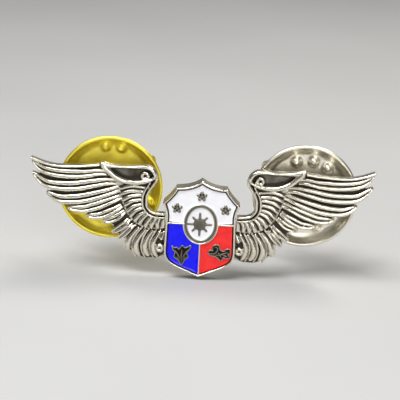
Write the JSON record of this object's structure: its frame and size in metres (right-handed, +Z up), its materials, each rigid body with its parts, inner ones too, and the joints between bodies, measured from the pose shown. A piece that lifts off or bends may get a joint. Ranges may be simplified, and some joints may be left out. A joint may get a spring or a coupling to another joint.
{
  "type": "pilot wings pin",
  "caption": "Cast pilot wings badge with an enamelled shield, fastened through cloth by posts and butterfly clutches.",
  "frame": {"origin": "on the flat back of the shield, on the centre line, level with the two posts", "axes": "+X to the right as seen from the front, +Y out of the flat back along the posts, +Z up as worn; the front faces -Y"},
  "size_m": [0.038, 0.0103, 0.0152],
  "materials": {
    "cast_nickel": "cast and plated in warm bright nickel, dark in the grooves",
    "white_enamel": "glossy opaque enamel",
    "blue_enamel": "glossy opaque enamel",
    "red_enamel": "glossy opaque enamel",
    "post_metal": "drawn wire, plated",
    "solder": "dull soft solder",
    "brass_sheet": "bright stamped brass",
    "nickel_sheet": "bright nickel on stamped brass",
    "spring_steel": "spring steel"
  },
  "bodies": {
    "badge": {"left_wing": "cast_nickel", "right_wing": "cast_nickel", "shield_body": "cast_nickel", "enamel_white_field": "white_enamel", "enamel_white_oval": "white_enamel", "enamel_blue": "blue_enamel", "enamel_red": "red_enamel", "left_post": "post_metal", "left_post_solder": "solder", "right_post": "post_metal", "right_post_solder": "solder"},
    "left_eyelet": {"left_clutch_eyelet": "brass_sheet"},
    "left_clutch": {"left_clutch_disc": "brass_sheet", "left_clutch_frame": "brass_sheet", "left_clutch_spring": "spring_steel"},
    "left_tab_a": {"left_clutch_tab_a": "brass_sheet", "left_clutch_jaw_a": "spring_steel"},
    "left_tab_b": {"left_clutch_tab_b": "brass_sheet", "left_clutch_jaw_b": "spring_steel"},
    "right_eyelet": {"right_clutch_eyelet": "nickel_sheet"},
    "right_clutch": {"right_clutch_disc": "nickel_sheet", "right_clutch_frame": "nickel_sheet", "right_clutch_spring": "spring_steel"},
    "right_tab_a": {"right_clutch_tab_a": "nickel_sheet", "right_clutch_jaw_a": "spring_steel"},
    "right_tab_b": {"right_clutch_tab_b": "nickel_sheet", "right_clutch_jaw_b": "spring_steel"}
  },
  "joints": [
    {"name": "left_clutch_pull", "type": "slide", "parent": "badge", "child": "left_eyelet", "axis": [0, 1, 0], "range_m": [0, 0.009]},
    {"name": "left_clutch_spin", "type": "hinge", "parent": "left_eyelet", "child": "left_clutch", "pos_m": [-0.0103, 0.002, 0], "axis": [0, 1, 0], "continuous": true},
    {"name": "left_tab_a_squeeze", "type": "hinge", "parent": "left_clutch", "child": "left_tab_a", "pos_m": [-0.0087, 0.0034, 0], "axis": [0, 0, 1], "range_deg": [0, 12], "stiffness_Nm_per_rad": 0.0002, "springref_deg": -2.86},
    {"name": "left_tab_b_squeeze", "type": "hinge", "parent": "left_clutch", "child": "left_tab_b", "pos_m": [-0.0119, 0.0034, 0], "axis": [0, 0, -1], "range_deg": [0, 12], "stiffness_Nm_per_rad": 0.0002, "springref_deg": -2.86},
    {"name": "right_clutch_pull", "type": "slide", "parent": "badge", "child": "right_eyelet", "axis": [0, 1, 0], "range_m": [0, 0.009]},
    {"name": "right_clutch_spin", "type": "hinge", "parent": "right_eyelet", "child": "right_clutch", "pos_m": [0.0115, 0.002, 0], "axis": [0, 1, 0], "continuous": true},
    {"name": "right_tab_a_squeeze", "type": "hinge", "parent": "right_clutch", "child": "right_tab_a", "pos_m": [0.0131, 0.0034, 0], "axis": [0, 0, 1], "range_deg": [0, 12], "stiffness_Nm_per_rad": 0.0002, "springref_deg": -2.86},
    {"name": "right_tab_b_squeeze", "type": "hinge", "parent": "right_clutch", "child": "right_tab_b", "pos_m": [0.0099, 0.0034, 0], "axis": [0, 0, -1], "range_deg": [0, 12], "stiffness_Nm_per_rad": 0.0002, "springref_deg": -2.86}
  ],
  "couplings": [
    {"joint": "left_tab_b_squeeze", "follows": "left_tab_a_squeeze", "ratio": 1},
    {"joint": "right_tab_b_squeeze", "follows": "right_tab_a_squeeze", "ratio": 1}
  ]
}
